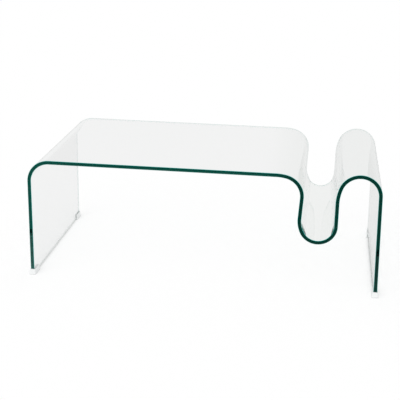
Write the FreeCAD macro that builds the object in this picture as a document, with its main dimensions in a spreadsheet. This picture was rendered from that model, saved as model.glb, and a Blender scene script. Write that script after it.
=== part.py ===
import FreeCAD, Part
import math
import os
import Sketcher

# Waterfall coffee table: one sheet of bent float glass on four clear corner shoes.
# The sheet stands up as a plain leg, lies flat as the top, dips into a magazine pocket, swells over a
# rounded hump and comes down as the second leg.
# The origin is on the floor under the middle of the table. X runs along the table towards the pocket,
# Y across it from the front edge to the back edge, and Z up.

doc = FreeCAD.newDocument("WaterfallTable")
sheet = doc.addObject("Spreadsheet::Sheet", "Sizes")

# Lengths in millimetres, angles in degrees. Bends are measured on the sheet's upper face.
dimensions = {
    # Glass sheet
    "table_length": 1142.0,  # over the outer faces of the two legs, at their feet
    "table_width": 600.0,  # front edge to back edge
    "top_height": 396.5,  # floor to the upper face of the flat top
    "glass_thickness": 12.0,
    "end_radius": 72.0,  # bend between the plain leg and the top
    "lip_ease_radius": 153.0,  # slow start of the bend from the top into the pocket
    "lip_ease_angle": 12.7,
    "lip_radius": 72.0,
    "pocket_lean": 3.4,  # first wall of the pocket leans back under the lip
    "pocket_depth": 216.0,  # top to the floor of the pocket
    "belly_ease_radius": 88.0,  # slow start of the bend under the pocket
    "belly_ease_angle": 28.3,
    "belly_radius": 50.0,
    "hump_ease_radius": 154.0,  # slow start of the bend over the hump
    "hump_ease_angle": 19.2,
    "hump_radius": 69.5,
    "hump_rise": 8.3,  # crest of the hump above the flat top
    "leg_splay": 1.1,  # second leg leans out towards its foot
    "foot_corner_radius": 3.0,  # dubbed corners at the feet of both legs
    "arris": 1.0,  # flat ground along every cut edge
    # Corner shoes
    "shoe_height": 18.5,
    "shoe_floor": 3.5,  # plastic under the glass
    "shoe_grip": 46.0,  # length of edge that sits in a shoe
    "shoe_wall": 2.2,  # slot to outside, at the rim
    "shoe_flare": 2.2,  # the base stands out this far beyond the rim
    "shoe_corner_radius": 3.0,
    "shoe_rim_radius": 0.8,
    "slot_clearance": 0.2,
    # Bonding pads between glass and shoe
    "pad_thickness": 1.0,
    "pad_inset": 6.0,  # pad's ends to the ends of the gripped edge
    # Cuts run past the solid by this much
    "cut_overrun": 5.0,
}
for row, (name, value) in enumerate(dimensions.items(), start=1):
    sheet.set(f"A{row}", name)
    sheet.set(f"B{row}", str(value))
    sheet.setAlias(f"B{row}", name)
doc.recompute()


def size(name):
    return float(sheet.get(name))


def origin_plane(body, role):
    return next(feature for feature in body.Origin.OriginFeatures if feature.Role == role)


def new_sketch(body, name, role):
    sketch = body.newObject("Sketcher::SketchObject", name)
    sketch.AttachmentSupport = [(origin_plane(body, role), "")]
    sketch.MapMode = "FlatFace"
    return sketch


def dimension(sketch, kind, places, value, name, expression):
    number = sketch.addConstraint(Sketcher.Constraint(kind, *places, value))
    sketch.renameConstraint(number, name)
    sketch.setExpression("Constraints." + name, expression)


# Closer than this, two places are one; lengths that only nearly agree; faces and edges that look one way
same_place = 0.0001
length_slack = 0.1
facing_share = 0.9999
along_share = 0.99

# Walk along the upper face from the foot of the plain leg to the foot of the other, seen from the front.
# A heading is the direction of the walk: 0 along the table, 90 upwards, -90 downwards.
level = 0.0
upwards = 90.0
downwards = -90.0
into_pocket = downwards - size("pocket_lean")
down_leg = downwards + size("leg_splay")
lip_turned = level - size("lip_ease_angle")
belly_turned = into_pocket + size("belly_ease_angle")
hump_turned = upwards - size("hump_ease_angle")

# Each bend: the size of its radius, then its first and last heading
bends = {
    "end_bend": ("end_radius", upwards, level),
    "lip_ease": ("lip_ease_radius", level, lip_turned),
    "lip_bend": ("lip_radius", lip_turned, into_pocket),
    "belly_ease": ("belly_ease_radius", into_pocket, belly_turned),
    "belly_bend": ("belly_radius", belly_turned, upwards),
    "hump_ease": ("hump_ease_radius", upwards, hump_turned),
    "hump_bend": ("hump_radius", hump_turned, down_leg),
}


def direction(heading):
    angle = math.radians(heading)
    return FreeCAD.Vector(math.cos(angle), math.sin(angle), 0)


def left_of(heading):
    return direction(heading + 90.0)


def bend_step(radius, first, last):
    # Move made along a bend, from one heading to another
    side = math.copysign(1.0, last - first)
    return (left_of(first) - left_of(last)) * radius * side


# Straight runs are what the bends leave of the table's heights and length
steps = {name: bend_step(size(radius), first, last) for name, (radius, first, last) in bends.items()}
foot_height = size("shoe_floor") + size("pad_thickness")
to_pocket_floor = bend_step(size("belly_radius"), belly_turned, level)
from_pocket_floor = bend_step(size("belly_radius"), level, upwards)
to_crest = bend_step(size("hump_radius"), hump_turned, level)
from_crest = bend_step(size("hump_radius"), level, down_leg)
falling = steps["lip_ease"].y + steps["lip_bend"].y + steps["belly_ease"].y + to_pocket_floor.y
climbing = from_pocket_floor.y + steps["hump_ease"].y + to_crest.y
landing = size("top_height") + size("hump_rise") + from_crest.y - foot_height
runs = {
    "left_leg": (size("top_height") - foot_height - size("end_radius"), upwards),
    "first_wall": (-(size("pocket_depth") + falling) / direction(into_pocket).y, into_pocket),
    "second_wall": (size("pocket_depth") + size("hump_rise") - climbing, upwards),
    "right_leg": (-landing / direction(down_leg).y, down_leg),
}
bent_length = sum(step.x for step in steps.values())
wall_length = sum((direction(heading) * run).x for run, heading in runs.values())
runs["flat_top"] = (size("table_length") - bent_length - wall_length, level)
for name, (run, heading) in runs.items():
    print(f"straight run {name}: {run:.1f} mm")
    if run <= 0:
        raise ValueError(f"the bends leave no room for {name}")

# Section of the sheet: the upper face, closed along the feet
glass = doc.addObject("PartDesign::Body", "GlassSheet")
glass.Label = "bent_glass_sheet"
section = new_sketch(glass, "UpperFace", "XZ_Plane")
route = [
    "left_leg",
    "end_bend",
    "flat_top",
    "lip_ease",
    "lip_bend",
    "first_wall",
    "belly_ease",
    "belly_bend",
    "second_wall",
    "hump_ease",
    "hump_bend",
    "right_leg",
]
start_point = FreeCAD.Vector(-size("table_length") / 2, foot_height, 0)
place = start_point
index = {}
ends = {}
for name in route:
    if name in runs:
        run, heading = runs[name]
        after = place + direction(heading) * run
        index[name] = section.addGeometry(Part.LineSegment(place, after), False)
        ends[name] = (1, 2)
    else:
        radius_name, first, last = bends[name]
        radius = size(radius_name)
        side = math.copysign(1.0, last - first)
        centre = place + left_of(first) * radius * side
        circle = Part.Circle(centre, FreeCAD.Vector(0, 0, 1), radius)
        turned = sorted([math.radians(first - 90.0 * side), math.radians(last - 90.0 * side)])
        index[name] = section.addGeometry(Part.ArcOfCircle(circle, *turned), False)
        ends[name] = (1, 2) if side > 0 else (2, 1)
        after = place + steps[name]
    place = after
foot_line = section.addGeometry(Part.LineSegment(place, start_point), False)

for before, behind in zip(route, route[1:]):
    joint = (index[before], ends[before][1], index[behind], ends[behind][0])
    section.addConstraint(Sketcher.Constraint("Tangent", *joint))
section.addConstraint(Sketcher.Constraint("Coincident", index["right_leg"], 2, foot_line, 1))
section.addConstraint(Sketcher.Constraint("Coincident", foot_line, 2, index["left_leg"], 1))
section.addConstraint(Sketcher.Constraint("Horizontal", foot_line))
section.addConstraint(Sketcher.Constraint("Vertical", index["left_leg"]))
section.addConstraint(Sketcher.Constraint("Horizontal", index["flat_top"]))
section.addConstraint(Sketcher.Constraint("Vertical", index["second_wall"]))
for name, (radius_name, first, last) in bends.items():
    dimension(section, "Radius", (index[name],), size(radius_name), radius_name, "Sizes." + radius_name)
for name in ("lip_ease", "belly_ease", "hump_ease"):
    angle_name = name + "_angle"
    turn = math.radians(size(angle_name))
    dimension(section, "Angle", (index[name],), turn, angle_name, f"Sizes.{angle_name} * 1 deg")
dimension(section, "Angle", (index["first_wall"],), math.radians(into_pocket), "into_pocket",
          "-(90 + Sizes.pocket_lean) * 1 deg")
dimension(section, "Angle", (index["right_leg"],), math.radians(down_leg), "down_leg",
          "-(90 - Sizes.leg_splay) * 1 deg")
half_length = size("table_length") / 2
dimension(section, "DistanceX", (index["left_leg"], 1, -1, 1), half_length, "left_foot",
          "Sizes.table_length / 2")
dimension(section, "DistanceX", (-1, 1, index["right_leg"], 2), half_length, "right_foot",
          "Sizes.table_length / 2")
dimension(section, "DistanceY", (-1, 1, index["left_leg"], 1), foot_height, "foot_height",
          "Sizes.shoe_floor + Sizes.pad_thickness")
dimension(section, "DistanceY", (-1, 1, index["flat_top"], 1), size("top_height"), "top_height",
          "Sizes.top_height")
belly_centre = size("top_height") - size("pocket_depth") + size("belly_radius")
dimension(section, "DistanceY", (-1, 1, index["belly_bend"], 3), belly_centre, "belly_centre",
          "Sizes.top_height - Sizes.pocket_depth + Sizes.belly_radius")
hump_centre = size("top_height") + size("hump_rise") - size("hump_radius")
dimension(section, "DistanceY", (-1, 1, index["hump_bend"], 3), hump_centre, "hump_centre",
          "Sizes.top_height + Sizes.hump_rise - Sizes.hump_radius")

# The section is drawn out across the table and hollowed from below to one thickness of glass
block = glass.newObject("PartDesign::Pad", "Block")
block.Profile = section
block.SideType = "Symmetric"
block.setExpression("Length", "Sizes.table_width")
doc.recompute()


def facing(shape, wanted):
    # Names of the flat faces that look the wanted way
    found = []
    for number, face in enumerate(shape.Faces, start=1):
        if face.Surface.TypeId == "Part::GeomPlane" and face.normalAt(0, 0).dot(wanted) > facing_share:
            found.append(f"Face{number}")
    return found


forwards = FreeCAD.Vector(0, -1, 0)
backwards = FreeCAD.Vector(0, 1, 0)
leftwards = FreeCAD.Vector(-1, 0, 0)
rightwards = FreeCAD.Vector(1, 0, 0)
below = FreeCAD.Vector(0, 0, -1)
open_faces = facing(block.Shape, forwards) + facing(block.Shape, backwards) + facing(block.Shape, below)
bent = glass.newObject("PartDesign::Thickness", "BentSheet")
bent.Base = (block, open_faces)
bent.Reversed = True
bent.setExpression("Value", "Sizes.glass_thickness")
doc.recompute()

# Dubbed corners: the short edges through the glass where a foot meets the front or back edge
foot_corners = []
for number, edge in enumerate(bent.Shape.Edges, start=1):
    box = edge.BoundBox
    at_foot = max(abs(box.ZMin - foot_height), abs(box.ZMax - foot_height)) < same_place
    if at_foot and box.YLength < same_place:
        foot_corners.append(f"Edge{number}")
dubbed = glass.newObject("PartDesign::Fillet", "DubbedCorners")
dubbed.Base = (bent, foot_corners)
dubbed.setExpression("Radius", "Sizes.foot_corner_radius")
doc.recompute()

# Ground arris: every edge of the front, back and foot faces that runs along the sheet
cut_faces = facing(dubbed.Shape, forwards) + facing(dubbed.Shape, backwards) + facing(dubbed.Shape, below)
cut_shapes = [dubbed.Shape.getElement(name) for name in cut_faces]
arris_edges = []
for number, edge in enumerate(dubbed.Shape.Edges, start=1):
    if any(edge.isSame(other) for face in cut_shapes for other in face.Edges):
        middle = edge.tangentAt((edge.FirstParameter + edge.LastParameter) / 2)
        as_long = abs(edge.Length - size("glass_thickness")) < length_slack
        through_glass = as_long and abs(middle.x) > along_share
        if not through_glass:
            arris_edges.append(f"Edge{number}")
ground = glass.newObject("PartDesign::Chamfer", "GroundArris")
ground.Base = (dubbed, arris_edges)
ground.setExpression("Size", "Sizes.arris")
doc.recompute()
glass.Tip = ground


# Corner shoe: a tapered block with a slot for the glass, closed at the corner end. One moulding fits all
# four corners, so the slot is wide enough for the leg that leans.
slot_width = (
    "(Sizes.glass_thickness / cos(Sizes.leg_splay * 1 deg) + 2 * Sizes.slot_clearance"
    " + 2 * (Sizes.shoe_height - Sizes.shoe_floor) * tan(Sizes.leg_splay * 1 deg))"
)
base_half_width = f"({slot_width} / 2 + Sizes.shoe_wall + Sizes.shoe_flare)"
outer_end = "(Sizes.slot_clearance + Sizes.shoe_wall + Sizes.shoe_flare)"
inner_end = "(Sizes.shoe_grip + Sizes.shoe_flare)"
leg_place = "(Sizes.table_length - Sizes.glass_thickness) / 2"


def rectangle(sketch, left, right, near, far):
    # Four lines, each side held at an expression measured out from the sketch's origin
    half = size("shoe_grip") / 2
    corners = [(-half, -half), (half, -half), (half, half), (-half, half)]
    points = [FreeCAD.Vector(x, y, 0) for x, y in corners]
    lines = []
    for first, second in zip(points, points[1:] + points[:1]):
        lines.append(sketch.addGeometry(Part.LineSegment(first, second), False))
    bottom, east, top, west = lines
    for first, second in zip(lines, lines[1:] + lines[:1]):
        sketch.addConstraint(Sketcher.Constraint("Coincident", first, 2, second, 1))
    for line in (bottom, top):
        sketch.addConstraint(Sketcher.Constraint("Horizontal", line))
    for line in (east, west):
        sketch.addConstraint(Sketcher.Constraint("Vertical", line))
    dimension(sketch, "DistanceX", (west, 1, -1, 1), half, "left", left)
    dimension(sketch, "DistanceX", (-1, 1, east, 1), half, "right", right)
    dimension(sketch, "DistanceY", (bottom, 1, -1, 1), half, "near", near)
    dimension(sketch, "DistanceY", (-1, 1, top, 1), half, "far", far)


def make_shoe(label, along, across, turned):
    body = doc.addObject("PartDesign::Body", "Shoe")
    body.Label = label
    outline = new_sketch(body, "BaseOutline", "XY_Plane")
    rectangle(outline, base_half_width, base_half_width, outer_end, inner_end)
    block = body.newObject("PartDesign::Pad", "ShoeBlock")
    block.Profile = outline
    block.setExpression("Length", "Sizes.shoe_height")
    doc.recompute()
    sides = []
    for way in (forwards, backwards, leftwards, rightwards):
        sides += facing(block.Shape, way)
    tapered = body.newObject("PartDesign::Draft", "TaperedSides")
    tapered.Base = (block, sides)
    tapered.NeutralPlane = (block, facing(block.Shape, below))
    tapered.setExpression("Angle", "atan(Sizes.shoe_flare / Sizes.shoe_height)")
    doc.recompute()
    if tapered.Shape.Volume >= block.Shape.Volume:
        raise ValueError(f"the sides of {label} widen towards the rim")

    rising = []
    for number, edge in enumerate(tapered.Shape.Edges, start=1):
        if edge.BoundBox.ZLength > size("shoe_height") / 2:
            rising.append(f"Edge{number}")
    rounded = body.newObject("PartDesign::Fillet", "RoundedCorners")
    rounded.Base = (tapered, rising)
    rounded.setExpression("Radius", "Sizes.shoe_corner_radius")
    doc.recompute()

    rim = []
    for number, edge in enumerate(rounded.Shape.Edges, start=1):
        if edge.BoundBox.ZMin > size("shoe_height") - same_place:
            rim.append(f"Edge{number}")
    softened = body.newObject("PartDesign::Fillet", "SoftRim")
    softened.Base = (rounded, rim)
    softened.setExpression("Radius", "Sizes.shoe_rim_radius")
    doc.recompute()

    opening = new_sketch(body, "SlotOutline", "XY_Plane")
    opening.setExpression("AttachmentOffset.Base.z", "Sizes.shoe_floor")
    rectangle(opening, slot_width + " / 2", slot_width + " / 2", "Sizes.slot_clearance",
              inner_end + " + Sizes.cut_overrun")
    slot = body.newObject("PartDesign::Pocket", "GlassSlot")
    slot.Profile = opening
    slot.Reversed = True
    slot.setExpression("Length", "Sizes.shoe_height - Sizes.shoe_floor + Sizes.cut_overrun")
    doc.recompute()
    if slot.Shape.Volume >= softened.Shape.Volume:
        raise ValueError(f"the slot of {label} cuts nothing")
    body.Tip = slot

    upright = FreeCAD.Vector(0, 0, 1)
    body.Placement = FreeCAD.Placement(FreeCAD.Vector(0, 0, 0), FreeCAD.Rotation(upright, turned))
    body.setExpression("Placement.Base.x", along)
    body.setExpression("Placement.Base.y", across)
    return body


# Bonding pad: holds the foot of the glass on the floor of its shoe
def make_pad(label, along, across):
    pad = doc.addObject("Part::Box", "Pad")
    pad.Label = label
    pad.setExpression("Length", "Sizes.glass_thickness - 2 * Sizes.arris")
    pad.setExpression("Width", "Sizes.shoe_grip - 2 * Sizes.pad_inset")
    pad.setExpression("Height", "Sizes.pad_thickness")
    pad.setExpression("Placement.Base.x", f"{along} - (Sizes.glass_thickness - 2 * Sizes.arris) / 2")
    pad.setExpression("Placement.Base.y", across)
    pad.setExpression("Placement.Base.z", "Sizes.shoe_floor")
    return pad


nodes = [glass]
front_edge = "-Sizes.table_width / 2"
back_edge = "Sizes.table_width / 2"
front_pad = f"{front_edge} + Sizes.pad_inset"
back_pad = f"{back_edge} - Sizes.shoe_grip + Sizes.pad_inset"
for end_name, along in (("left", f"-{leg_place}"), ("right", leg_place)):
    nodes.append(make_shoe(f"corner_shoe_front_{end_name}", along, front_edge, 0.0))
    nodes.append(make_shoe(f"corner_shoe_back_{end_name}", along, back_edge, 180.0))
    nodes.append(make_pad(f"bonding_pad_front_{end_name}", along, front_pad))
    nodes.append(make_pad(f"bonding_pad_back_{end_name}", along, back_pad))
doc.recompute()

for item in doc.Objects:
    if "Invalid" in item.State or "Error" in item.State:
        raise RuntimeError(f"{item.Label} failed: {item.State}")
if not section.FullyConstrained:
    raise RuntimeError("the section of the sheet is not fully held")
for node in nodes:
    if node.Shape.isNull() or not node.Shape.isValid() or len(node.Shape.Solids) != 1:
        raise RuntimeError(f"{node.Label} is not one sound solid")

os.makedirs("parts", exist_ok=True)
for node in nodes:
    node.Shape.exportStep(f"parts/{node.Label}.step")
    box = node.Shape.BoundBox
    print(f"{node.Label}: {box.XLength:.2f} x {box.YLength:.2f} x {box.ZLength:.2f} mm, "
          f"{node.Shape.Volume / 1000:.2f} cm3")
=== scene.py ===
import math

import bmesh
import bpy
from mathutils import Euler, Matrix, Vector


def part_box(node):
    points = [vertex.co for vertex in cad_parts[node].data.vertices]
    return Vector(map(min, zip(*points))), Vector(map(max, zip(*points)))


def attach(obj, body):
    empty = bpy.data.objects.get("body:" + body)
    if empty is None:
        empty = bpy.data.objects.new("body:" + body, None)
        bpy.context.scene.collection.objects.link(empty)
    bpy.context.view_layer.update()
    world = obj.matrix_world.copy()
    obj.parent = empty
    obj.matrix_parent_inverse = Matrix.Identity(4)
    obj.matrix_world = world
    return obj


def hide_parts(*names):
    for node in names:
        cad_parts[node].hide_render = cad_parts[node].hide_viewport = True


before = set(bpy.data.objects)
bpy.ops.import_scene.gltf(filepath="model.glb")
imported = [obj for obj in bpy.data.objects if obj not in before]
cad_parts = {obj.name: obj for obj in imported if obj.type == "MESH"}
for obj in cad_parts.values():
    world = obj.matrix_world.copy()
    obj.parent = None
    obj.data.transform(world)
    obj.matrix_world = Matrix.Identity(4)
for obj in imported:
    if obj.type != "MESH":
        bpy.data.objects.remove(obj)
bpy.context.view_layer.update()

mm = 0.001
mixShare, mixUnder, mixOver, mixResult = 0, 6, 7, 2  # sockets of a Mix node that mixes colours
print("frame loaded:", ", ".join(sorted(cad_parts)))


def linearColor(hexText):
    # sRGB hex to the linear colour that Blender's sockets take
    parts = [int(hexText[i:i + 2], 16) / 255 for i in (1, 3, 5)]
    linear = [c / 12.92 if c <= 0.04045 else ((c + 0.055) / 1.055) ** 2.4 for c in parts]
    return (*linear, 1.0)


def addNode(tree, kind, settings=None, links=None):
    # settings name a socket or a property of the node, links name a socket and what feeds it
    node = tree.nodes.new(kind)
    for name, value in (settings or {}).items():
        if isinstance(name, int) or name in node.inputs:
            node.inputs[name].default_value = value
        else:
            setattr(node, name, value)
    for name, source in (links or {}).items():
        tree.links.new(source, node.inputs[name])
    return node


def newMaterial(name):
    material = bpy.data.materials.new(name)
    material.use_nodes = True
    material.node_tree.nodes.clear()
    return material, material.node_tree


# Float glass, fire-polished by the tin bath and left so by the bending oven: no grain, only a long
# roller wave that bends reflections a little and a faint wiping haze.
# Each painted light or shade is (axis, mm where it starts, mm where it is full, colour, which light takes
# it).
fireGlass = {
    "color": "#f5f5f5",
    "paintedLightAndShade": [("X", 190.0, 300.0, "#eeefee", "both"),  # painted shade: a shade grayer over the bent end and hump
              ("Z", 375.0, 340.0, "#f2f3f2", "both"),  # less of that painted shade in the pocket and down the leg
              ("X", -490.0, -510.0, "#f7f7f7", "both")],  # painted light: lighter over the plain end's bend
    "clearness": 1.0,
    "reflection": "#ffffff",
    "waveLength": 140.0,  # mm between roller waves
    "waveDepth": 0.012,  # mm
    "hazeSize": 60.0,  # mm across a wiping mark
    "roughness": (0.0, 0.02),  # clean and hazed
}
# The same glass cut, ground and polished on a belt: looking into the edge is looking through the whole
# width of the sheet, so the iron in it shows as dark sea green
edgeGlass = {
    "color": "#185c51",
    "paintedLightAndShade": [("Z", 146.0, 130.0, "#0b342c", "entering"),  # painted shade: a deeper green in light leaving the edge where it looks down on to the foot
              ("X", 190.0, 300.0, "#0e4238", "both")],  # painted shade: a deeper green along the bent end
    "clearness": 1.0,
    "reflection": "#202020",
    "waveLength": 18.0,  # mm, ripple of the polishing belt
    "waveDepth": 0.004,  # mm
    "hazeSize": 9.0,  # mm
    "roughness": (0.0, 0.04),
}
# Its corners seamed with a finer belt: a narrow line, clouded below its polish. Its opaque lighter and
# clearer sea green than the edge is a painted glow that stands in for the light the sheet pipes to it
arrisGlowPaint = {
    "color": "#00a59c",
    "clearness": 0.0,
    "reflection": "#808080",
    "waveLength": 18.0,  # mm
    "waveDepth": 0.004,  # mm
    "hazeSize": 9.0,  # mm
    "roughness": (0.0, 0.06),
}
# What these three finishes share
glassBody = {
    "ior": 1.52,
    "absorbColor": "#4f9a86",
    "absorbDensity": 1.0,  # per metre
    "lampTint": "#fcfdfd",  # what one face takes from a lamp's light
    "waveDetail": 1.0,
    "hazeDetail": 5.0,
    "hazeRange": (0.45, 0.75),  # values of its noise where the haze starts and is full
}


def paintLightAndShadeByPlace(tree, place, finish, shader):
    # each painted light or shade lies over those before it
    spot = addNode(tree, "ShaderNodeSeparateXYZ", None, {"Vector": place.outputs["Object"]})
    under = None
    for axis, start, full, color, light in finish["paintedLightAndShade"]:
        share = addNode(tree, "ShaderNodeMapRange", {"From Min": start * mm, "From Max": full * mm},
                        {"Value": spot.outputs[axis]}).outputs["Result"]
        if light == "entering":  # light that leaves the sheet meets its surface from behind
            side = addNode(tree, "ShaderNodeNewGeometry")
            share = addNode(tree, "ShaderNodeMath", {"operation": "SUBTRACT", "use_clamp": True},
                            {0: share, 1: side.outputs["Backfacing"]}).outputs["Value"]
        tint = addNode(tree, "ShaderNodeMix",
                       {"data_type": "RGBA", mixUnder: linearColor(finish["color"]),
                        mixOver: linearColor(color)},
                       {mixShare: share})
        if under:
            tree.links.new(under, tint.inputs[mixUnder])
        under = tint.outputs[mixResult]
    tree.links.new(under, shader.inputs["Base Color"])


def makeGlass(name, finish, body):
    material, tree = newMaterial(name)
    place = addNode(tree, "ShaderNodeTexCoord")
    wave = addNode(tree, "ShaderNodeTexNoise",
                   {"Scale": 1 / (finish["waveLength"] * mm), "Detail": body["waveDetail"]},
                   {"Vector": place.outputs["Object"]})
    bump = addNode(tree, "ShaderNodeBump", {"Distance": finish["waveDepth"] * mm},
                   {"Height": wave.outputs["Fac"]})
    haze = addNode(tree, "ShaderNodeTexNoise",
                   {"Scale": 1 / (finish["hazeSize"] * mm), "Detail": body["hazeDetail"]},
                   {"Vector": place.outputs["Object"]})
    hazeStart, hazeFull = body["hazeRange"]
    clean, hazed = finish["roughness"]
    rough = addNode(tree, "ShaderNodeMapRange",
                    {"From Min": hazeStart, "From Max": hazeFull, "To Min": clean, "To Max": hazed},
                    {"Value": haze.outputs["Fac"]})
    glass = addNode(tree, "ShaderNodeBsdfPrincipled",
                    {"Base Color": linearColor(finish["color"]), "IOR": body["ior"],
                     "Transmission Weight": finish["clearness"],
                     "Specular Tint": linearColor(finish["reflection"])},
                    {"Normal": bump.outputs["Normal"], "Roughness": rough.outputs["Result"]})
    if "paintedLightAndShade" in finish:
        paintLightAndShadeByPlace(tree, place, finish, glass)
    lampSide = addNode(tree, "ShaderNodeBsdfTransparent", {"Color": linearColor(body["lampTint"])})
    path = addNode(tree, "ShaderNodeLightPath")
    lit = addNode(tree, "ShaderNodeMixShader", None,
                  {0: path.outputs["Is Shadow Ray"], 1: glass.outputs["BSDF"], 2: lampSide.outputs["BSDF"]})
    # the room's light passes straight through, so that only the ground foot shades the floor
    roomSide = addNode(tree, "ShaderNodeBsdfTransparent")
    surface = addNode(tree, "ShaderNodeMixShader", None,
                      {0: path.outputs["Is Diffuse Ray"], 1: lit.outputs["Shader"],
                       2: roomSide.outputs["BSDF"]})
    inside = addNode(tree, "ShaderNodeVolumeAbsorption",
                     {"Color": linearColor(body["absorbColor"]), "Density": body["absorbDensity"]})
    addNode(tree, "ShaderNodeOutputMaterial", None,
            {"Surface": surface.outputs["Shader"], "Volume": inside.outputs["Volume"]})
    return material


# The foot, only ground on the stone and never polished: a dull whitish face as ground glass is, partly
# painted light under the plain leg
groundGlass = {
    "color": "#e6eae8",
    "paintedLightAndShade": [("X", 190.0, 300.0, "#818e89", "both")],  # painted shade: grayer under the other leg
    "ior": 1.52,
    "gritSize": 0.8,  # mm, coarser than the real grit so that it shows
    "gritDetail": 2.0,
    "gritDepth": 0.03,  # mm
    "roughness": (0.45, 0.7),
}


def makeGroundGlass(look):
    material, tree = newMaterial("floatGlassGroundFoot")
    place = addNode(tree, "ShaderNodeTexCoord")
    grit = addNode(tree, "ShaderNodeTexNoise",
                   {"Scale": 1 / (look["gritSize"] * mm), "Detail": look["gritDetail"]},
                   {"Vector": place.outputs["Object"]})
    rough = addNode(tree, "ShaderNodeMapRange",
                    {"To Min": look["roughness"][0], "To Max": look["roughness"][1]},
                    {"Value": grit.outputs["Fac"]})
    bump = addNode(tree, "ShaderNodeBump", {"Distance": look["gritDepth"] * mm},
                   {"Height": grit.outputs["Fac"]})
    ground = addNode(tree, "ShaderNodeBsdfPrincipled", {"IOR": look["ior"]},
                     {"Roughness": rough.outputs["Result"], "Normal": bump.outputs["Normal"]})
    paintLightAndShadeByPlace(tree, place, look, ground)
    addNode(tree, "ShaderNodeOutputMaterial", None, {"Surface": ground.outputs["BSDF"]})
    return material


# Bent glass sheet, walked along its upper face from the foot of the plain leg to the foot of the other.
# Lengths in mm, angles in degrees. Heading 0 runs along the table, 90 up, -90 down.
bentSheet = {
    "thickness": 12.0,
    "topHeight": 396.5,
    "endRadius": 72.0,
    "lipEaseRadius": 153.0,
    "lipEaseAngle": 12.7,
    "lipRadius": 72.0,
    "pocketLean": 3.4,
    "pocketDepth": 216.0,
    "bellyEaseRadius": 88.0,
    "bellyEaseAngle": 28.3,
    "bellyRadius": 50.0,
    "humpEaseRadius": 154.0,
    "humpEaseAngle": 19.2,
    "humpRadius": 69.5,
    "humpRise": 8.3,
    "legSplay": 1.1,
    "arris": 1.0,
    "dubRadius": 3.0,
    "dubSteps": 6,
    "bendStep": 2.0,  # degrees of bend to one strip of mesh
    "runStep": 40.0,  # mm of straight run to one strip
    "strips": 6,  # across the middle of the table
    "curl": 3.3,  # mm that the free edges stand off from the belly's tight corners
    "curlAt": (-66.0, 77.0),  # headings at the middle of the two corners
    "curlSpread": 24.0,  # degrees of bend either side
    "curlReach": 18.0,  # mm in from the edge
    "curlStrips": 6,  # across that reach
    "sharpAngle": 30.0,  # a steeper fold is shaded as an edge
}


def heading(angle):
    return Vector((math.cos(math.radians(angle)), math.sin(math.radians(angle))))


def leftOf(angle):
    return heading(angle + 90)


def bendMove(radius, first, last):
    return (leftOf(first) - leftOf(last)) * radius * math.copysign(1, last - first)


def edgeCurl(size, angle):
    # the free edges of a tight bend curl against it as the sheet sinks into its mould
    shares = [max(0, 1 - ((angle - corner) / size["curlSpread"]) ** 2) ** 2 for corner in size["curlAt"]]
    return size["curl"] * max(shares)


def walkSheet(size, length, footHeight):
    # (point on the upper face, heading, curl of the edges) at each station along the section
    intoPocket, downLeg = -90 - size["pocketLean"], -90 + size["legSplay"]
    lipTurned, humpTurned = -size["lipEaseAngle"], 90 - size["humpEaseAngle"]
    bellyTurned = intoPocket + size["bellyEaseAngle"]
    bends = {
        "end": (size["endRadius"], 90, 0),
        "lipEase": (size["lipEaseRadius"], 0, lipTurned),
        "lip": (size["lipRadius"], lipTurned, intoPocket),
        "bellyEase": (size["bellyEaseRadius"], intoPocket, bellyTurned),
        "belly": (size["bellyRadius"], bellyTurned, 90),
        "humpEase": (size["humpEaseRadius"], 90, humpTurned),
        "hump": (size["humpRadius"], humpTurned, downLeg),
    }
    # the straight runs take what the bends leave
    moves = {name: bendMove(*bend) for name, bend in bends.items()}
    falling = sum(moves[name].y for name in ("lipEase", "lip", "bellyEase"))
    falling += bendMove(size["bellyRadius"], bellyTurned, 0).y
    climbing = bendMove(size["bellyRadius"], 0, 90).y + moves["humpEase"].y
    climbing += bendMove(size["humpRadius"], humpTurned, 0).y
    landing = size["topHeight"] + size["humpRise"] - footHeight
    landing += bendMove(size["humpRadius"], 0, downLeg).y
    runs = {
        "plainLeg": (size["topHeight"] - footHeight - size["endRadius"], 90),
        "firstWall": (-(size["pocketDepth"] + falling) / heading(intoPocket).y, intoPocket),
        "secondWall": (size["pocketDepth"] + size["humpRise"] - climbing, 90),
        "splayedLeg": (-landing / heading(downLeg).y, downLeg),
    }
    taken = sum(move.x for move in moves.values())
    taken += sum((heading(angle) * run).x for run, angle in runs.values())
    runs["flatTop"] = (length - taken, 0)
    route = ["plainLeg", "end", "flatTop", "lipEase", "lip", "firstWall", "bellyEase", "belly",
             "secondWall", "humpEase", "hump", "splayedLeg"]
    here = Vector((-length / 2, footHeight))
    stations = [(here.copy(), 90, 0)]
    for name in route:
        if name in runs:
            run, angle = runs[name]
            count = max(1, round(run / size["runStep"]))
            stations += [(here + heading(angle) * run * i / count, angle, 0) for i in range(1, count + 1)]
        else:
            radius, first, last = bends[name]
            count = max(2, round(abs(last - first) / size["bendStep"]))
            for i in range(1, count + 1):
                angle = first + (last - first) * i / count
                curl = edgeCurl(size, angle) if name.startswith("belly") else 0
                stations.append((here + bendMove(radius, first, angle), angle, curl))
        here = stations[-1][0].copy()
    return stations


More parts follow.
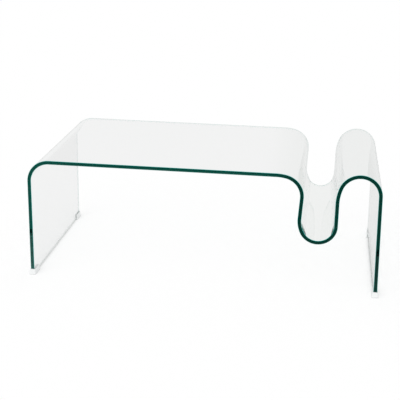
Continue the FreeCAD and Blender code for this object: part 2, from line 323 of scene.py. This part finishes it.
def makeBentSheet(size, stations, half, *glasses):
    thick, arris, dub = size["thickness"], size["arris"], size["dubRadius"]
    reach, near, middle = size["curlReach"], size["curlStrips"], size["strips"]
    turns = [math.radians(90) * i / size["dubSteps"] for i in range(size["dubSteps"] + 1)]

    # each ring is (point, heading, curl, face half width, edge half width, face pull, edge pull, level):
    # the pulls take it back from the foot where its corner is dubbed, level makes up for a leg's lean
    def footRings(station, side):
        angle = station[1]
        level = leftOf(angle).y / heading(angle).y
        rings = []
        for turn in turns:
            c, s = math.cos(turn), math.sin(turn)
            rings.append((*station, half - dub + (dub - arris) * c, half - dub + dub * c,
                          side * (dub - (dub - arris) * s), side * (dub - dub * s), level))
        return rings

    rings = footRings(stations[0], 1)[::-1]
    rings += [(*station, half - arris, half, 0, 0, 0) for station in stations[1:-1]]
    rings += footRings(stations[-1], -1)
    mesh = bmesh.new()
    loops = []
    for point, angle, curl, faceHalf, edgeHalf, facePull, edgePull, level in rings:
        flat = faceHalf - reach
        fromEdge = [reach * i / near for i in range(near)]
        across = [inward - faceHalf for inward in fromEdge]
        across += [(2 * i / middle - 1) * flat for i in range(middle + 1)]
        across += [faceHalf - inward for inward in reversed(fromEdge)]
        # the edges keep to the section and the sheet between them stands into the bend
        sunk = [curl * (max(0, (abs(y) - flat) / reach) ** 2 - 1) for y in across]
        upper = [(depth, y, facePull) for depth, y in zip(sunk, across)]
        backEdge = [(arris, edgeHalf, edgePull), (thick - arris, edgeHalf, edgePull)]
        lower = [(thick + depth, y, pull) for depth, y, pull in reversed(upper)]
        frontEdge = [(depth, -y, pull) for depth, y, pull in reversed(backEdge)]
        loop = []
        for depth, y, pull in upper + backEdge + lower + frontEdge:
            spot = point - leftOf(angle) * depth + heading(angle) * (pull + level * depth)
            loop.append(mesh.verts.new((spot.x * mm, y * mm, spot.y * mm)))
        loops.append(loop)
    strips = middle + 2 * near
    faceIndex, edgeIndex, arrisIndex, footIndex = range(len(glasses))
    bands = ([faceIndex] * strips + [arrisIndex, edgeIndex, arrisIndex]) * 2
    for before, after in zip(loops, loops[1:]):
        for i, band in enumerate(bands):
            j = (i + 1) % len(bands)
            quad = mesh.faces.new((before[i], before[j], after[j], after[i]))
            quad.material_index = band
            quad.smooth = True
    for loop, turned in ((loops[0], True), (loops[-1], False)):
        upper, lower = loop[:strips + 1], loop[strips + 3:-2]
        backUpper, backLower = loop[strips + 1:strips + 3]
        frontLower, frontUpper = loop[-2:]
        caps = [upper + [backUpper, frontUpper],
                [frontUpper, backUpper, backLower, frontLower],
                [frontLower, backLower] + lower]
        for cap in caps:
            face = mesh.faces.new(cap if turned else cap[::-1])
            face.material_index = footIndex
            face.smooth = True
    bmesh.ops.recalc_face_normals(mesh, faces=mesh.faces)
    data = bpy.data.meshes.new("bentSheet")
    mesh.to_mesh(data)
    mesh.free()
    for glass in glasses:
        data.materials.append(glass)
    data.set_sharp_from_angle(angle=math.radians(size["sharpAngle"]))
    piece = bpy.data.objects.new("bentSheet", data)
    bpy.context.scene.collection.objects.link(piece)
    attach(piece, "root")
    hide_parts("bent_glass_sheet")
    return piece


sheetLow, sheetHigh = (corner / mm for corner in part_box("bent_glass_sheet"))
halfWidth = (sheetHigh.y - sheetLow.y) / 2
stations = walkSheet(bentSheet, sheetHigh.x - sheetLow.x, sheetLow.z)
sheetPiece = makeBentSheet(bentSheet, stations, halfWidth,
                           makeGlass("floatGlassFirePolished", fireGlass, glassBody),
                           makeGlass("floatGlassPolishedEdge", edgeGlass, glassBody),
                           makeGlass("floatGlassArrisPaintedGlow", arrisGlowPaint, glassBody),
                           makeGroundGlass(groundGlass))
print("bent sheet:", len(sheetPiece.data.polygons), "faces")


# Soft PVC, injection moulded: milky white, with a dull bloom from the mould and painted gray shade along
# its edges
softPvc = {
    "color": "#f6f8f8",
    "ior": 1.53,
    "roughness": (0.21, 0.39),
    "bloomSize": 4.0,  # mm
    "bloomDetail": 3.0,
    "bloomDepth": 0.02,  # mm
    "bloomStrength": 0.5,
    # painted shade: the gray laid along the shoe's edges
    "edgeShadeColor": "#a7abab",
    "edgeShadeWidth": 3.0,  # mm along each edge
    "edgeShadeRange": (0.995, 0.85),  # cosine to the rounded normal where the painted edge shade starts and is full
    "edgeShadeSamples": 8,
}


def makeSoftPvc(look):
    material, tree = newMaterial("softPvcMoulded")
    place = addNode(tree, "ShaderNodeTexCoord")
    bloom = addNode(tree, "ShaderNodeTexNoise",
                    {"Scale": 1 / (look["bloomSize"] * mm), "Detail": look["bloomDetail"]},
                    {"Vector": place.outputs["Object"]})
    rough = addNode(tree, "ShaderNodeMapRange",
                    {"To Min": look["roughness"][0], "To Max": look["roughness"][1]},
                    {"Value": bloom.outputs["Fac"]})
    bump = addNode(tree, "ShaderNodeBump",
                   {"Strength": look["bloomStrength"], "Distance": look["bloomDepth"] * mm},
                   {"Height": bloom.outputs["Fac"]})
    # painted shade: gray along the shoe's edges, where the rounded normal leaves the flat one
    flat = addNode(tree, "ShaderNodeNewGeometry")
    eased = addNode(tree, "ShaderNodeBevel",
                    {"samples": look["edgeShadeSamples"], "Radius": look["edgeShadeWidth"] * mm})
    same = addNode(tree, "ShaderNodeVectorMath", {"operation": "DOT_PRODUCT"},
                   {0: flat.outputs["Normal"], 1: eased.outputs["Normal"]})
    shadeStart, shadeFull = look["edgeShadeRange"]
    edgeShade = addNode(tree, "ShaderNodeMapRange", {"From Min": shadeStart, "From Max": shadeFull},
                    {"Value": same.outputs["Value"]})
    tint = addNode(tree, "ShaderNodeMix",
                   {"data_type": "RGBA", mixUnder: linearColor(look["color"]),
                    mixOver: linearColor(look["edgeShadeColor"])},
                   {mixShare: edgeShade.outputs["Result"]})
    plastic = addNode(tree, "ShaderNodeBsdfPrincipled", {"IOR": look["ior"]},
                      {"Base Color": tint.outputs[mixResult], "Roughness": rough.outputs["Result"],
                       "Normal": bump.outputs["Normal"]})
    addNode(tree, "ShaderNodeOutputMaterial", None, {"Surface": plastic.outputs["BSDF"]})
    return material


# Clear acrylic bonding tape, cut from a roll: glassy and a little uneven where it was pressed down
bondingTape = {
    "color": "#f2f4f2",
    "clearness": 0.8,
    "ior": 1.47,
    "pressSize": 5.0,  # mm between the pressed spots
    "pressDetail": 2.0,
    "roughness": (0.05, 0.3),
}


def makeBondingTape(look):
    material, tree = newMaterial("acrylicTapeClear")
    place = addNode(tree, "ShaderNodeTexCoord")
    press = addNode(tree, "ShaderNodeTexNoise",
                    {"Scale": 1 / (look["pressSize"] * mm), "Detail": look["pressDetail"]},
                    {"Vector": place.outputs["Object"]})
    rough = addNode(tree, "ShaderNodeMapRange",
                    {"To Min": look["roughness"][0], "To Max": look["roughness"][1]},
                    {"Value": press.outputs["Fac"]})
    tape = addNode(tree, "ShaderNodeBsdfPrincipled",
                   {"Base Color": linearColor(look["color"]), "IOR": look["ior"],
                    "Transmission Weight": look["clearness"]},
                   {"Roughness": rough.outputs["Result"]})
    addNode(tree, "ShaderNodeOutputMaterial", None, {"Surface": tape.outputs["BSDF"]})
    return material


dressing = {"corner_shoe": makeSoftPvc(softPvc), "bonding_pad": makeBondingTape(bondingTape)}
for name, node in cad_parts.items():
    for start, material in dressing.items():
        if name.startswith(start):
            node.data.materials.clear()
            node.data.materials.append(material)
print("shoes and pads dressed")

# Plain white floor and soft light
studio = {
    "floorSize": 30.0,  # m
    "floorColor": "#eaeaea",
    "roomColor": "#ffffff",
    "ambient": 0.88,
    "roomShade": 0.88,  # the room above the floor as a mirror image shows it
    "lampHeight": 40.0,  # degrees above the floor
    "lampTurn": 25.0,  # degrees to the left of straight on
    "lampSpread": 60.0,  # degrees
}


def liftToWhite(tree, level, mirrorShade):
    # what camera, glossy and transmission rays add to a level of light to see it white
    path = addNode(tree, "ShaderNodeLightPath")
    seen = addNode(tree, "ShaderNodeMath", {"operation": "MAXIMUM"},
                   {0: path.outputs["Is Camera Ray"], 1: path.outputs["Is Glossy Ray"]})
    seen = addNode(tree, "ShaderNodeMath", {"operation": "MAXIMUM"},
                   {0: seen.outputs["Value"], 1: path.outputs["Is Transmission Ray"]})
    mirror = addNode(tree, "ShaderNodeMath", {"operation": "MULTIPLY"},
                     {0: path.outputs["Is Glossy Ray"], 1: path.outputs["Is Reflection Ray"]})
    shade = addNode(tree, "ShaderNodeMath", {"operation": "MULTIPLY", 1: 1 - mirrorShade},
                    {0: mirror.outputs["Value"]})
    white = addNode(tree, "ShaderNodeMath", {"operation": "MULTIPLY", 1: 1 - level},
                    {0: seen.outputs["Value"]})
    lift = addNode(tree, "ShaderNodeMath", {"operation": "SUBTRACT"},
                   {0: white.outputs["Value"], 1: shade.outputs["Value"]})
    return lift.outputs["Value"]


def makeStudio(look):
    scene = bpy.context.scene
    world = bpy.data.worlds.new("studio")
    scene.world = world
    world.use_nodes = True
    tree = world.node_tree
    tree.nodes.clear()
    strength = addNode(tree, "ShaderNodeMath", {"operation": "ADD", 1: look["ambient"]},
                       {0: liftToWhite(tree, look["ambient"], look["roomShade"])})
    room = addNode(tree, "ShaderNodeBackground", {"Color": linearColor(look["roomColor"])},
                   {"Strength": strength.outputs["Value"]})
    addNode(tree, "ShaderNodeOutputWorld", None, {"Surface": room.outputs["Background"]})

    lamp = bpy.data.objects.new("softLamp", bpy.data.lights.new("softLamp", "SUN"))
    lamp.rotation_euler = (math.radians(90 - look["lampHeight"]), 0, math.radians(-look["lampTurn"]))
    lamp.data.angle = math.radians(look["lampSpread"])
    # the lamp fills what the room leaves of a full unit of light on the floor
    lamp.data.energy = (1 - look["ambient"]) * math.pi / math.sin(math.radians(look["lampHeight"]))
    lamp.visible_camera = lamp.visible_glossy = lamp.visible_transmission = False
    scene.collection.objects.link(lamp)

    material, tree = newMaterial("studioFloorPaint")
    floorColor = linearColor(look["floorColor"])
    paint = addNode(tree, "ShaderNodeBsdfDiffuse", {"Color": floorColor})
    glow = addNode(tree, "ShaderNodeEmission", None,
                   {"Strength": liftToWhite(tree, floorColor[0], floorColor[0])})
    both = addNode(tree, "ShaderNodeAddShader", None,
                   {0: paint.outputs["BSDF"], 1: glow.outputs["Emission"]})
    addNode(tree, "ShaderNodeOutputMaterial", None, {"Surface": both.outputs["Shader"]})
    reach = look["floorSize"] / 2
    corners = [(-reach, -reach, 0), (reach, -reach, 0), (reach, reach, 0), (-reach, reach, 0)]
    data = bpy.data.meshes.new("floor")
    data.from_pydata(corners, [], [(0, 1, 2, 3)])
    data.materials.append(material)
    floor = bpy.data.objects.new("floor", data)
    scene.collection.objects.link(floor)


makeStudio(studio)

# Camera where the photograph was taken from
viewpoint = {
    "place": (362.2, -3178.7, 1260.8),  # mm
    "sensorWidth": 36.0,  # mm
    "focal": 962.1,  # in pixels of an image as wide as the next line says
    "imageWidth": 400.0,
    "turn": 7.284,  # degrees to the left of straight across
    "tilt": 18.411,  # downwards
    "roll": 1.023,
}


def makeCamera(view):
    data = bpy.data.cameras.new("photoCamera")
    data.sensor_width = view["sensorWidth"]
    data.lens = view["sensorWidth"] * view["focal"] / view["imageWidth"]
    camera = bpy.data.objects.new("photoCamera", data)
    aim = Euler((math.radians(90 - view["tilt"]), 0, math.radians(view["turn"]))).to_matrix()
    aim = aim @ Matrix.Rotation(math.radians(view["roll"]), 3, "Z")
    camera.matrix_world = Matrix.Translation(Vector(view["place"]) * mm) @ aim.to_4x4()
    bpy.context.scene.collection.objects.link(camera)
    bpy.context.scene.camera = camera


makeCamera(viewpoint)

# Light bounces many times inside the glass, and no path is dropped before the sure ones
lightPaths = {"sure": 32, "most": 64}
scene = bpy.context.scene
scene.view_settings.view_transform = "Standard"
scene.cycles.min_light_bounces = lightPaths["sure"]
scene.cycles.max_bounces = lightPaths["most"]
scene.cycles.glossy_bounces = lightPaths["most"]
scene.cycles.transmission_bounces = lightPaths["most"]
print("studio and camera set")
